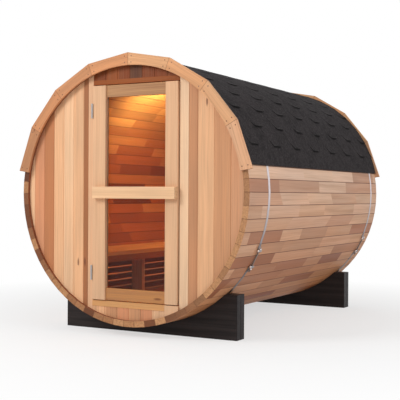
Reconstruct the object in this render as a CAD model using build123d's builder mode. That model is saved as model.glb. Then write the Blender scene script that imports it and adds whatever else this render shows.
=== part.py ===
from build123d import *
from math import asin, ceil, cos, degrees, floor, radians, sin, sqrt
import os

# Barrel sauna, in millimetres. +Z is up, the door end faces -Y and the barrel lies along Y.
# The origin is on the ground, under the middle of the whole sauna.

# Barrel
BARREL_RADIUS = 900.0  # over the corners of the staves
BARREL_LENGTH = 2500.0
STAVE_COUNT = 66
STAVES_IN_GROUP = 6
STAVE_THICKNESS = 41.0
FIRST_SEAM_ANGLE = 0.45  # one seam lies this many degrees above the level through the axis
JOINT_GAP = 0.3  # dry joint between neighbouring pieces
BEAD_HALF_WIDTH = 11.0
BEAD_HEIGHT = 6.0
BEAD_FLATS = 3  # the round of a bead is drawn with this many flats
STAVE_EASE = 1.6  # eased outer arrises
CROZE_DEPTH = 10.0  # the cross groove that holds an end wall
FRONT_RECESS = 22.0  # from the stave ends to the face of an end wall
END_WALL_THICKNESS = 38.0
WALL_CLEARANCE = 1.0  # between a wall's rim and the bottom of the croze

# Cradles
CRADLE_HORN = 89.5  # level top of a cradle, outside the barrel
CRADLE_HEIGHT = 300.0
CRADLE_PLANK = 55.0
CRADLE_ARRIS = 3.0
BARREL_LIFT = 70.0  # ground to the lowest stave
FRONT_CRADLE_PLACE = 247.0  # stave ends to the first plank
REAR_CRADLE_PLACE = 110.0  # rear stave ends to the last plank

# Hoops
HOOP_WIDTH = 28.0
HOOP_THICKNESS = 1.2
HOOP_CLEARANCE = 0.3
FRONT_HOOP_PLACE = 291.0
REAR_HOOP_PLACE = 148.0
UPPER_BARREL_ANGLE = -24.3
LOWER_BARREL_ANGLE = -31.9
CROSS_BARREL_RADIUS = 7.0
CROSS_BARREL_LENGTH = 40.0
SCREW_RADIUS = 4.0
SCREW_SLOT_RADIUS = 5.0
SMALL_ROUND_SIDES = 8  # flats of each small round part, here and in the door's hinges
NUT_ACROSS_CORNERS = 15.0
NUT_HEIGHT = 7.0
SCREW_HEAD_REACH = 12.0
SCREW_TAIL_REACH = 34.0

# Board arches over the ends
TRIM_OVERHANG = 36.0  # of a board's corners over the corners of the staves
TRIM_DEPTH = 84.0
TRIM_THICKNESS = 18.0
TRIM_START_ANGLE = 9.4
TRIM_BOARDS = 8

# Shingles
ROOF_EDGE_ANGLE = 11.5
ROOF_COURSES = 9  # on each side
SHINGLE_BUTT = 10.0
SHINGLE_HEAD = 6.0
ROOF_CLEARANCE = 0.3

# Wall boards
LEFT_BOARD = 85.4
RIGHT_BOARD = 120.5
OVER_DOOR_BOARDS = 7
BACK_BOARD = 85.4
LEFT_FILLER = 41.0
RIGHT_FILLER = 67.0
TONGUE_THICKNESS = 10.0
TONGUE_REACH = 8.0
BOARD_GROOVE = 2.5  # depth of the small V along each board's face

# Door and doorway
LEAF_LEFT = -299.0
LEAF_WIDTH = 676.0
DOOR_FOOT_INSET = 78.4  # the leaf's lower latch corner inside the staves' outside
DOOR_HEAD_INSET = 80.2  # the leaf's upper latch corner inside the staves' outside
LEAF_THICKNESS = 40.0
LEAF_PROUD = 16.0  # in front of the wall's face
LEAF_GAP = 6.5
HINGE_GAP = 5.4
HINGE_STILE_WIDTH = 105.0
LATCH_STILE_WIDTH = 96.0
RAIL_HEIGHT = 80.0
RAIL_SETBACK = 12.0
RAIL_THICKNESS = 26.0
GLASS_THICKNESS = 6.0
GLASS_SETBACK = 27.0
GLASS_REBATE = 12.0
GLASS_CLEARANCE = 0.5
BAR_HEIGHT = 80.0
BAR_THICKNESS = 38.0
BAR_LEFT_MARGIN = 22.0
BAR_ARRIS = 2.0
HINGE_JAMB_WIDTH = 42.0
LATCH_JAMB_WIDTH = 66.0
HEAD_HEIGHT = 32.0
SILL_HEIGHT = 40.0
SILL_PROUD = 4.0
STOP_THICKNESS = 15.0
STOP_REACH = 14.0
STOP_GAP = 5.0

# Butt hinges
HINGE_LENGTH = 100.0
HINGE_KNUCKLES = 3
KNUCKLE_RADIUS = 6.0
KNUCKLE_GAP = 0.5
PIN_RADIUS = 3.0
PIN_CLEARANCE = 0.4
HINGE_PLATE = 2.0
HINGE_PLATE_DEPTH = 44.0
UPPER_HINGE_PLACE = 170.0  # top of the leaf to the hinge's middle
LOWER_HINGE_PLACE = 183.0  # bottom of the leaf to the hinge's middle

# Bench
BENCH_HEIGHT = 480.0  # over the lowest stave's outside
BENCH_WALL_GAP = 8.4  # between the last slat's lower edge and the staves
SEAT_SLATS = 5
SEAT_SLAT_WIDTH = 78.0
SEAT_SLAT_GAP = 8.5
SEAT_SLAT_THICKNESS = 28.0
BENCH_RAIL_HEIGHT = 45.0
BENCH_RAIL_THICKNESS = 26.0
BENCH_END_GAP = 4.0
BENCH_SUPPORTS = 5
BENCH_SUPPORT_THICKNESS = 38.0
BENCH_POST_WIDTH = 90.0
FIRST_SUPPORT_PLACE = 80.0
SKIRT_SLAT_HEIGHT = 38.0
SKIRT_PITCH = 48.0
SKIRT_SLAT_THICKNESS = 16.0

# Worked out from the sizes above
REACH_FRONT = max(TRIM_THICKNESS, BAR_THICKNESS - (FRONT_RECESS - LEAF_PROUD))
REACH_REAR = TRIM_THICKNESS
FRONT_Y = -(BARREL_LENGTH + REACH_FRONT + REACH_REAR) / 2 + REACH_FRONT
REAR_Y = FRONT_Y + BARREL_LENGTH
AXIS_Z = BARREL_LIFT + BARREL_RADIUS
STAVE_ANGLE = 360.0 / STAVE_COUNT
HALF_STAVE = radians(STAVE_ANGLE / 2)
STAVE_OUTER_FLAT = BARREL_RADIUS * cos(HALF_STAVE)
STAVE_INNER_FLAT = STAVE_OUTER_FLAT - STAVE_THICKNESS
CROZE_RADIUS = STAVE_INNER_FLAT + CROZE_DEPTH
WALL_RADIUS = CROZE_RADIUS - WALL_CLEARANCE
INSIDE_RADIUS = STAVE_INNER_FLAT - JOINT_GAP
WALL_FACE_Y = FRONT_Y + FRONT_RECESS
WALL_BACK_Y = WALL_FACE_Y + END_WALL_THICKNESS
REAR_WALL_FACE_Y = REAR_Y - FRONT_RECESS
REAR_WALL_BACK_Y = REAR_WALL_FACE_Y - END_WALL_THICKNESS
HOOP_INNER_RADIUS = BARREL_RADIUS + HOOP_CLEARANCE
HOOP_OUTER_RADIUS = HOOP_INNER_RADIUS + HOOP_THICKNESS
SEAT_RADIUS = HOOP_OUTER_RADIUS + HOOP_CLEARANCE  # cradles and shingles bear on the hoops here
TRIM_CORNER_RADIUS = BARREL_RADIUS + TRIM_OVERHANG
TRIM_INNER_RADIUS = TRIM_CORNER_RADIUS - TRIM_DEPTH
BARREL_BOTTOM = AXIS_Z - BARREL_RADIUS
BARREL_TOP = AXIS_Z + BARREL_RADIUS
CRADLE_HALF_WIDTH = sqrt(SEAT_RADIUS**2 - (AXIS_Z - CRADLE_HEIGHT) ** 2) + CRADLE_HORN

LEAF_RIGHT = LEAF_LEFT + LEAF_WIDTH
LEAF_BOTTOM = AXIS_Z - sqrt((BARREL_RADIUS - DOOR_FOOT_INSET) ** 2 - LEAF_RIGHT**2)
LEAF_TOP = AXIS_Z + sqrt((BARREL_RADIUS - DOOR_HEAD_INSET) ** 2 - LEAF_RIGHT**2)
LEAF_HEIGHT = LEAF_TOP - LEAF_BOTTOM
LEAF_FACE_Y = WALL_FACE_Y - LEAF_PROUD
LEAF_BACK_Y = LEAF_FACE_Y + LEAF_THICKNESS
HINGE_JAMB_RIGHT = LEAF_LEFT - HINGE_GAP
HINGE_JAMB_LEFT = HINGE_JAMB_RIGHT - HINGE_JAMB_WIDTH
LATCH_JAMB_LEFT = LEAF_RIGHT + LEAF_GAP
LATCH_JAMB_RIGHT = LATCH_JAMB_LEFT + LATCH_JAMB_WIDTH
HEAD_BOTTOM = LEAF_TOP + LEAF_GAP
HEAD_TOP = HEAD_BOTTOM + HEAD_HEIGHT
SILL_TOP = LEAF_BOTTOM - LEAF_GAP
SILL_BOTTOM = SILL_TOP - SILL_HEIGHT
STOP_FACE_Y = LEAF_BACK_Y + STOP_GAP
STOP_BACK_Y = max(STOP_FACE_Y, WALL_BACK_Y) + STOP_THICKNESS
HINGE_AXIS_X = LEAF_LEFT - HINGE_GAP / 2
HINGE_AXIS_Y = LEAF_FACE_Y - KNUCKLE_RADIUS


def export(piece, label):
    piece.part.label = label
    export_step(piece.part, "parts/" + label + ".step")


def barrel_point(radius, angle):
    """A point of the cross section, from the barrel's axis, at an angle in degrees above +X."""
    return (radius * cos(radians(angle)), radius * sin(radians(angle)))


def cross_plane(y):
    """The upright plane across the barrel at y, with its origin on the axis and its normal to the front."""
    return Plane(origin=(0, y, AXIS_Z), x_dir=(1, 0, 0), z_dir=(0, -1, 0))


# Staves: one stave lies along local Z with its outer face towards +X, and is repeated round the axis
def stave_side(radius, side):
    """A point on the stave's radial side, half a joint gap inside the true radial plane."""
    x = radius * cos(HALF_STAVE) + JOINT_GAP / 2 * sin(HALF_STAVE)
    y = radius * sin(HALF_STAVE) - JOINT_GAP / 2 * cos(HALF_STAVE)
    return (x, side * y)


def round_points(half_width, side):
    """The flats of a bead or cove, outwards along the stave's side; both bulge towards the bead's side."""
    round_radius = (half_width**2 + BEAD_HEIGHT**2) / (2 * BEAD_HEIGHT)
    points = []
    for number in range(BEAD_FLATS + 1):
        along = half_width * (2 * number / BEAD_FLATS - 1)
        bulge = sqrt(round_radius**2 - along**2) - (round_radius - BEAD_HEIGHT)
        x, y = stave_side(MID_RADIUS + along, side)
        points.append((x + side * bulge * sin(HALF_STAVE), y - bulge * cos(HALF_STAVE)))
    return points


MID_RADIUS = BARREL_RADIUS - STAVE_THICKNESS / 2
INNER_CORNER_RADIUS = BARREL_RADIUS - STAVE_THICKNESS / cos(HALF_STAVE)

with BuildPart() as stave:
    with BuildSketch():
        with BuildLine():
            # From the inner corner out along the bead, over the face and back along the cove
            face_bead = stave_side(BARREL_RADIUS, -1)
            face_cove = stave_side(BARREL_RADIUS, 1)
            Polyline(
                stave_side(INNER_CORNER_RADIUS, -1),
                *round_points(BEAD_HALF_WIDTH, -1),
                stave_side(BARREL_RADIUS - STAVE_EASE, -1),
                (face_bead[0], face_bead[1] + STAVE_EASE),
                (face_cove[0], face_cove[1] - STAVE_EASE),
                stave_side(BARREL_RADIUS - STAVE_EASE, 1),
                *reversed(round_points(BEAD_HALF_WIDTH + JOINT_GAP, 1)),
                stave_side(INNER_CORNER_RADIUS, 1),
                close=True,
            )
        make_face()
    extrude(amount=BARREL_LENGTH)
    # Local Z starts at the rear end, so the two crozes lie the same depth from either end
    croze_width = END_WALL_THICKNESS + 2 * JOINT_GAP
    croze_starts = (
        FRONT_RECESS - JOINT_GAP,
        BARREL_LENGTH - FRONT_RECESS - END_WALL_THICKNESS - JOINT_GAP,
    )
    with Locations(*[(CROZE_RADIUS, 0, start) for start in croze_starts]):
        Box(
            CROZE_DEPTH * 2,
            BARREL_RADIUS * sin(HALF_STAVE) * 2,
            croze_width,
            align=(Align.MAX, Align.CENTER, Align.MIN),
            mode=Mode.SUBTRACT,
        )

STAVE_GROUPS = (
    "staves_crown",
    "staves_upper_left",
    "staves_shoulder_left",
    "staves_side_left",
    "staves_haunch_left",
    "staves_floor_left",
    "staves_floor_right",
    "staves_haunch_right",
    "staves_side_right",
    "staves_shoulder_right",
    "staves_upper_right",
)
GROUP_ANGLE = STAVES_IN_GROUP * STAVE_ANGLE
# The crown group starts at the seam that leaves it nearest to the top
crown_seams = round((90 - GROUP_ANGLE / 2 - FIRST_SEAM_ANGLE) / STAVE_ANGLE)
crown_start = FIRST_SEAM_ANGLE + crown_seams * STAVE_ANGLE
for number, label in enumerate(STAVE_GROUPS):
    first_stave = crown_start + number * GROUP_ANGLE + STAVE_ANGLE / 2
    with BuildPart(cross_plane(REAR_Y)) as staves:
        with PolarLocations(0, STAVES_IN_GROUP, first_stave, GROUP_ANGLE):
            add(stave.part)
    export(staves, label)


# Board arches: straight outer edges, an arc inside, radial joints
def trim_boards(first, count, y):
    """Boards first to first + count - 1 of an arch whose front face lies at y."""
    board_angle = (180 - 2 * TRIM_START_ANGLE) / TRIM_BOARDS
    half_gap = degrees(asin(JOINT_GAP / 2 / TRIM_INNER_RADIUS))
    with BuildPart() as boards:
        for number in range(first, first + count):
            low = TRIM_START_ANGLE + number * board_angle + half_gap
            high = low + board_angle - 2 * half_gap
            with BuildSketch(cross_plane(y)):
                with BuildLine():
                    Polyline(
                        barrel_point(TRIM_INNER_RADIUS, low),
                        barrel_point(TRIM_CORNER_RADIUS, low),
                        barrel_point(TRIM_CORNER_RADIUS, high),
                        barrel_point(TRIM_INNER_RADIUS, high),
                    )
                    ThreePointArc(
                        barrel_point(TRIM_INNER_RADIUS, high),
                        barrel_point(TRIM_INNER_RADIUS, (low + high) / 2),
                        barrel_point(TRIM_INNER_RADIUS, low),
                    )
                make_face()
            extrude(amount=-TRIM_THICKNESS)
    return boards


HALF_ARCH = TRIM_BOARDS // 2
export(trim_boards(0, HALF_ARCH, FRONT_Y - TRIM_THICKNESS), "front_trim_right")
export(trim_boards(HALF_ARCH, HALF_ARCH, FRONT_Y - TRIM_THICKNESS), "front_trim_left")
export(trim_boards(0, HALF_ARCH, REAR_Y), "rear_trim_right")
export(trim_boards(HALF_ARCH, HALF_ARCH, REAR_Y), "rear_trim_left")


# Shingle courses: each is thick at its lower edge and thin where the next course would cover it
def shingle_courses(side):
    """Courses of one side, 1 for the right and -1 for the left."""
    course_angle = (90 - ROOF_EDGE_ANGLE) / ROOF_COURSES
    half_gap = degrees(asin(JOINT_GAP / 2 / SEAT_RADIUS))

    def point(radius, angle):
        x, z = barrel_point(radius, angle)
        return (side * x, z)

    with BuildPart() as courses:
        for number in range(ROOF_COURSES):
            low = ROOF_EDGE_ANGLE + number * course_angle
            high = low + course_angle - 2 * half_gap
            middle = (low + high) / 2
            mean_thickness = (SHINGLE_BUTT + SHINGLE_HEAD) / 2
            with BuildSketch(cross_plane(REAR_Y - ROOF_CLEARANCE)):
                with BuildLine():
                    Line(point(SEAT_RADIUS, low), point(SEAT_RADIUS + SHINGLE_BUTT, low))
                    ThreePointArc(
                        point(SEAT_RADIUS + SHINGLE_BUTT, low),
                        point(SEAT_RADIUS + mean_thickness, middle),
                        point(SEAT_RADIUS + SHINGLE_HEAD, high),
                    )
                    Line(point(SEAT_RADIUS + SHINGLE_HEAD, high), point(SEAT_RADIUS, high))
                    ThreePointArc(
                        point(SEAT_RADIUS, high),
                        point(SEAT_RADIUS, middle),
                        point(SEAT_RADIUS, low),
                    )
                make_face()
            extrude(amount=BARREL_LENGTH - 2 * ROOF_CLEARANCE)
    return courses


export(shingle_courses(1), "roof_shingles_right")
export(shingle_courses(-1), "roof_shingles_left")


# Hoops: a taut band runs straight from corner to corner of the staves, and its ends fold round two
# cross barrels, drawn together by a screw
def band_point(corner_radius, angle):
    """A point of the band's outline, which has its corners at the seams."""
    past_seam = (angle - FIRST_SEAM_ANGLE) % STAVE_ANGLE
    from_middle = radians(past_seam - STAVE_ANGLE / 2)
    return barrel_point(corner_radius * cos(HALF_STAVE) / cos(from_middle), angle)


def band_line(corner_radius):
    """The band's outline from the upper cross barrel, over the top, to the lower one."""
    first_seam = floor((UPPER_BARREL_ANGLE - FIRST_SEAM_ANGLE) / STAVE_ANGLE) + 1
    last_seam = ceil((LOWER_BARREL_ANGLE + 360 - FIRST_SEAM_ANGLE) / STAVE_ANGLE)
    seams = [FIRST_SEAM_ANGLE + number * STAVE_ANGLE for number in range(first_seam, last_seam)]
    angles = [UPPER_BARREL_ANGLE] + seams + [LOWER_BARREL_ANGLE]
    return [band_point(corner_radius, angle) for angle in angles]


def hoop(y):
    loop_outer = CROSS_BARREL_RADIUS + HOOP_CLEARANCE + HOOP_THICKNESS
    upper = Vector(*band_point(HOOP_INNER_RADIUS + loop_outer, UPPER_BARREL_ANGLE))
    lower = Vector(*band_point(HOOP_INNER_RADIUS + loop_outer, LOWER_BARREL_ANGLE))
    front = y - HOOP_WIDTH / 2
    centre_plane = cross_plane(y)
    upper_point = centre_plane.from_local_coords(upper)
    lower_point = centre_plane.from_local_coords(lower)
    run = (lower_point - upper_point).normalized()
    head_end = upper_point - run * (CROSS_BARREL_RADIUS + SCREW_HEAD_REACH)
    screw_plane = Plane(origin=head_end, x_dir=(0, 1, 0), z_dir=run)
    span = (lower_point - upper_point).length
    screw_length = span + 2 * CROSS_BARREL_RADIUS + SCREW_HEAD_REACH + SCREW_TAIL_REACH

    with BuildPart() as band:
        with BuildSketch(cross_plane(front)):
            with BuildLine():
                Polyline(
                    *band_line(HOOP_OUTER_RADIUS),
                    *reversed(band_line(HOOP_INNER_RADIUS)),
                    close=True,
                )
            make_face()
            with Locations(upper, lower):
                RegularPolygon(loop_outer, SMALL_ROUND_SIDES)
                RegularPolygon(
                    loop_outer - HOOP_THICKNESS,
                    SMALL_ROUND_SIDES,
                    mode=Mode.SUBTRACT,
                )
        extrude(amount=-HOOP_WIDTH)
        with BuildSketch(screw_plane):
            RegularPolygon(SCREW_SLOT_RADIUS, SMALL_ROUND_SIDES)
        extrude(amount=screw_length, mode=Mode.SUBTRACT)
    with BuildPart() as screw:
        with BuildSketch(cross_plane(y - CROSS_BARREL_LENGTH / 2)):
            with Locations(upper, lower):
                RegularPolygon(CROSS_BARREL_RADIUS, SMALL_ROUND_SIDES)
        extrude(amount=-CROSS_BARREL_LENGTH)
        with BuildSketch(screw_plane):
            RegularPolygon(SCREW_RADIUS, SMALL_ROUND_SIDES)
        extrude(amount=screw_length)
        nut_starts = (
            SCREW_HEAD_REACH + CROSS_BARREL_RADIUS - loop_outer - NUT_HEIGHT,
            SCREW_HEAD_REACH + CROSS_BARREL_RADIUS + span + loop_outer,
        )
        for start in nut_starts:
            with BuildSketch(screw_plane.offset(start)):
                RegularPolygon(NUT_ACROSS_CORNERS / 2, 6)
            extrude(amount=NUT_HEIGHT)
    with BuildPart() as whole:
        add(band.part)
        add(screw.part)
    return whole


export(hoop(FRONT_Y + FRONT_HOOP_PLACE), "front_hoop")
export(hoop(REAR_Y - REAR_HOOP_PLACE), "rear_hoop")


# Cradles: two planks on edge, cut to the barrel
def cradle(front):
    with BuildPart() as planks:
        for start in (front, front + CRADLE_PLANK):
            with BuildSketch(cross_plane(start)):
                with Locations((0, -AXIS_Z)):
                    Rectangle(
                        2 * CRADLE_HALF_WIDTH,
                        CRADLE_HEIGHT,
                        align=(Align.CENTER, Align.MIN),
                    )
                RegularPolygon(
                    SEAT_RADIUS,
                    STAVE_COUNT,
                    rotation=FIRST_SEAM_ANGLE,
                    mode=Mode.SUBTRACT,
                )
            extrude(amount=-(CRADLE_PLANK - JOINT_GAP))
        end_faces = planks.faces().filter_by(Axis.X)
        chamfer(end_faces.edges().filter_by(Axis.Z), CRADLE_ARRIS)
    return planks


export(cradle(FRONT_Y + FRONT_CRADLE_PLACE), "front_cradle")
export(cradle(REAR_Y - REAR_CRADLE_PLACE - 2 * CRADLE_PLANK), "rear_cradle")


# Wall boards: tongued and grooved, upright, with a small V down each joint
def wall_boards(edges, low, high, face_y, inward):
    """Boards between the given joints, from low to high, cut to the wall's round outline.

    inward is 1 where the wall's face looks to -Y and -1 where it looks to +Y.
    """
    tongue_front = face_y + inward * (END_WALL_THICKNESS - TONGUE_THICKNESS) / 2
    tongue_back = tongue_front + inward * TONGUE_THICKNESS
    groove_front = tongue_front - inward * JOINT_GAP
    groove_back = tongue_back + inward * JOINT_GAP
    back_y = face_y + inward * END_WALL_THICKNESS
    vee_y = face_y + inward * BOARD_GROOVE
    with BuildPart() as boards:
        for number in range(len(edges) - 1):
            left = edges[number] + JOINT_GAP / 2
            right = edges[number + 1] - JOINT_GAP / 2
            outline = [(left + BOARD_GROOVE, face_y), (right - BOARD_GROOVE, face_y), (right, vee_y)]
            if number < len(edges) - 2:
                outline += [
                    (right, tongue_front),
                    (right + TONGUE_REACH, tongue_front),
                    (right + TONGUE_REACH, tongue_back),
                    (right, tongue_back),
                ]
            outline += [(right, back_y), (left, back_y)]
            if number > 0:
                outline += [
                    (left, groove_back),
                    (left + TONGUE_REACH, groove_back),
                    (left + TONGUE_REACH, groove_front),
                    (left, groove_front),
                ]
            outline += [(left, vee_y)]
            with BuildSketch(Plane.XY.offset(low)):
                with BuildLine():
                    Polyline(*outline, close=True)
                make_face()
            extrude(amount=high - low)
        with BuildSketch(cross_plane(min(face_y, back_y))):
            RegularPolygon(WALL_RADIUS, STAVE_COUNT, major_radius=False, rotation=FIRST_SEAM_ANGLE)
        extrude(amount=-END_WALL_THICKNESS, mode=Mode.INTERSECT)
    return boards


def joints_from(start, step, limit):
    """Board joints from start in equal steps until the round outline is passed, in rising order."""
    places = [start]
    while abs(places[-1]) < limit:
        places.append(places[-1] + step)
    return sorted(places)


left_joints = joints_from(HINGE_JAMB_LEFT - LEFT_FILLER, -LEFT_BOARD, WALL_RADIUS)
left_joints.append(HINGE_JAMB_LEFT)
right_joints = [LATCH_JAMB_RIGHT]
right_joints += joints_from(LATCH_JAMB_RIGHT + RIGHT_FILLER, RIGHT_BOARD, WALL_RADIUS)
over_step = (LATCH_JAMB_LEFT - HINGE_JAMB_RIGHT) / OVER_DOOR_BOARDS
over_joints = [HINGE_JAMB_RIGHT + number * over_step for number in range(OVER_DOOR_BOARDS + 1)]
FOOT_LEFT = LEAF_RIGHT - LATCH_STILE_WIDTH
under_joints = [place for place in over_joints if place < FOOT_LEFT - over_step / 2] + [FOOT_LEFT]
back_right = joints_from(BACK_BOARD / 2, BACK_BOARD, WALL_RADIUS)
back_joints = [-place for place in reversed(back_right)] + back_right

export(wall_boards(left_joints, BARREL_BOTTOM, BARREL_TOP, WALL_FACE_Y, 1), "front_wall_left")
export(wall_boards(right_joints, BARREL_BOTTOM, BARREL_TOP, WALL_FACE_Y, 1), "front_wall_right")
export(wall_boards(over_joints, HEAD_TOP, BARREL_TOP, WALL_FACE_Y, 1), "front_wall_over_door")
export(wall_boards(under_joints, BARREL_BOTTOM, SILL_BOTTOM, WALL_FACE_Y, 1), "front_wall_under_door")
export(wall_boards(back_joints, BARREL_BOTTOM, BARREL_TOP, REAR_WALL_FACE_Y, -1), "back_wall")


# Doorway: the jambs run the whole height of the wall and carry the door's stops
def jamb(left, right, stop_left, stop_right):
    with BuildPart() as post:
        with BuildSketch(Plane.XY.offset(BARREL_BOTTOM)):
            with Locations(((left + right) / 2, (WALL_FACE_Y + WALL_BACK_Y) / 2)):
                Rectangle(right - left - 2 * JOINT_GAP, END_WALL_THICKNESS)
        extrude(amount=BARREL_TOP - BARREL_BOTTOM)
        with BuildSketch(cross_plane(WALL_FACE_Y)):
            RegularPolygon(WALL_RADIUS, STAVE_COUNT, major_radius=False, rotation=FIRST_SEAM_ANGLE)
        extrude(amount=-END_WALL_THICKNESS, mode=Mode.INTERSECT)
        with BuildSketch(Plane.XY.offset(SILL_TOP + JOINT_GAP)):
            with Locations(((stop_left + stop_right) / 2, STOP_FACE_Y)):
                Rectangle(
                    stop_right - stop_left,
                    STOP_BACK_Y - STOP_FACE_Y,
                    align=(Align.CENTER, Align.MIN),
                )
        extrude(amount=HEAD_BOTTOM - SILL_TOP - 2 * JOINT_GAP)
    return post


hinge_jamb = jamb(
    HINGE_JAMB_LEFT,
    HINGE_JAMB_RIGHT,
    HINGE_JAMB_LEFT + STOP_REACH,
    LEAF_LEFT + STOP_REACH,
)
export(hinge_jamb, "hinge_jamb")
latch_jamb = jamb(
    LATCH_JAMB_LEFT,
    LATCH_JAMB_RIGHT,
    LEAF_RIGHT - STOP_REACH,
    LATCH_JAMB_RIGHT - STOP_REACH,
)
export(latch_jamb, "latch_jamb")

with BuildPart() as door_head:
    with BuildSketch(Plane.XY.offset(HEAD_BOTTOM)):
        with Locations((HINGE_JAMB_RIGHT, WALL_FACE_Y)):
            Rectangle(
                LATCH_JAMB_LEFT - HINGE_JAMB_RIGHT,
                STOP_BACK_Y - WALL_FACE_Y,
                align=(Align.MIN, Align.MIN),
            )
    extrude(amount=HEAD_HEIGHT - JOINT_GAP)
export(door_head, "door_head")

with BuildPart() as door_sill:
    with BuildSketch(Plane.XY.offset(SILL_BOTTOM + JOINT_GAP)):
        with Locations((HINGE_JAMB_RIGHT, WALL_FACE_Y - SILL_PROUD)):
            Rectangle(
                FOOT_LEFT - HINGE_JAMB_RIGHT - JOINT_GAP,
                STOP_BACK_Y - WALL_FACE_Y + SILL_PROUD,
                align=(Align.MIN, Align.MIN),
            )
    extrude(amount=SILL_HEIGHT - JOINT_GAP)
export(door_sill, "door_sill")

with BuildPart() as latch_foot:
    with BuildSketch(Plane.XY.offset(BARREL_BOTTOM)):
        with Locations((FOOT_LEFT, LEAF_FACE_Y)):
            Rectangle(
                LATCH_JAMB_LEFT - FOOT_LEFT,
                WALL_BACK_Y - LEAF_FACE_Y,
                align=(Align.MIN, Align.MIN),
            )
    extrude(amount=SILL_TOP - BARREL_BOTTOM)
    with BuildSketch(cross_plane(LEAF_FACE_Y)):
        Circle(INSIDE_RADIUS)
    extrude(amount=-(WALL_BACK_Y - LEAF_FACE_Y), mode=Mode.INTERSECT)
export(latch_foot, "latch_foot")


# Door leaf: two stiles, two thinner rails and one pane let into a groove
def stile(left, right, glass_on_right):
    with BuildPart() as post:
        with BuildSketch(Plane.XY.offset(LEAF_BOTTOM)):
            with Locations((left, LEAF_FACE_Y)):
                Rectangle(right - left, LEAF_THICKNESS, align=(Align.MIN, Align.MIN))
            groove_x = right if glass_on_right else left
            groove_side = Align.MAX if glass_on_right else Align.MIN
            with Locations((groove_x, LEAF_FACE_Y + GLASS_SETBACK - GLASS_CLEARANCE)):
                Rectangle(
                    GLASS_REBATE,
                    GLASS_THICKNESS + 2 * GLASS_CLEARANCE,
                    align=(groove_side, Align.MIN),
                    mode=Mode.SUBTRACT,
                )
        extrude(amount=LEAF_HEIGHT)
        front_arrises = post.edges().filter_by(Axis.Z).group_by(Axis.Y)[0]
        chamfer(front_arrises, BAR_ARRIS)
    return post


STILE_INNER_LEFT = LEAF_LEFT + HINGE_STILE_WIDTH
STILE_INNER_RIGHT = LEAF_RIGHT - LATCH_STILE_WIDTH
export(stile(LEAF_LEFT, STILE_INNER_LEFT, True), "hinge_stile")
export(stile(STILE_INNER_RIGHT, LEAF_RIGHT, False), "latch_stile")


def rail(low, glass_above):
    high = low + RAIL_HEIGHT
    with BuildPart() as bar:
        with BuildSketch(Plane.YZ.offset(STILE_INNER_LEFT)):
            with Locations((LEAF_FACE_Y + RAIL_SETBACK, low)):
                Rectangle(RAIL_THICKNESS, RAIL_HEIGHT, align=(Align.MIN, Align.MIN))
            groove_z = high if glass_above else low
            groove_side = Align.MAX if glass_above else Align.MIN
            with Locations((LEAF_FACE_Y + GLASS_SETBACK - GLASS_CLEARANCE, groove_z)):
                Rectangle(
                    GLASS_THICKNESS + 2 * GLASS_CLEARANCE,
                    GLASS_REBATE,
                    align=(Align.MIN, groove_side),
                    mode=Mode.SUBTRACT,
                )
        extrude(amount=STILE_INNER_RIGHT - STILE_INNER_LEFT)
    return bar


export(rail(LEAF_TOP - RAIL_HEIGHT, False), "door_top_rail")
export(rail(LEAF_BOTTOM, True), "door_bottom_rail")

with BuildPart() as door_glass:
    glass_reach = GLASS_REBATE - GLASS_CLEARANCE
    glass_width = STILE_INNER_RIGHT - STILE_INNER_LEFT + 2 * glass_reach
    glass_height = LEAF_HEIGHT - 2 * RAIL_HEIGHT + 2 * glass_reach
    with BuildSketch(Plane.XY.offset(LEAF_BOTTOM + RAIL_HEIGHT - glass_reach)):
        with Locations((STILE_INNER_LEFT - glass_reach, LEAF_FACE_Y + GLASS_SETBACK)):
            Rectangle(glass_width, GLASS_THICKNESS, align=(Align.MIN, Align.MIN))
    extrude(amount=glass_height)
export(door_glass, "door_glass")

with BuildPart() as pull_bar:
    with BuildSketch(Plane.XY.offset(AXIS_Z - BAR_HEIGHT / 2)):
        with Locations((LEAF_LEFT + BAR_LEFT_MARGIN, LEAF_FACE_Y)):
            Rectangle(
                LEAF_WIDTH - BAR_LEFT_MARGIN,
                BAR_THICKNESS,
                align=(Align.MIN, Align.MAX),
            )
    extrude(amount=BAR_HEIGHT)
    front_face = pull_bar.faces().sort_by(Axis.Y)[0]
    chamfer(front_face.edges(), BAR_ARRIS)
export(pull_bar, "pull_bar")


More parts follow.
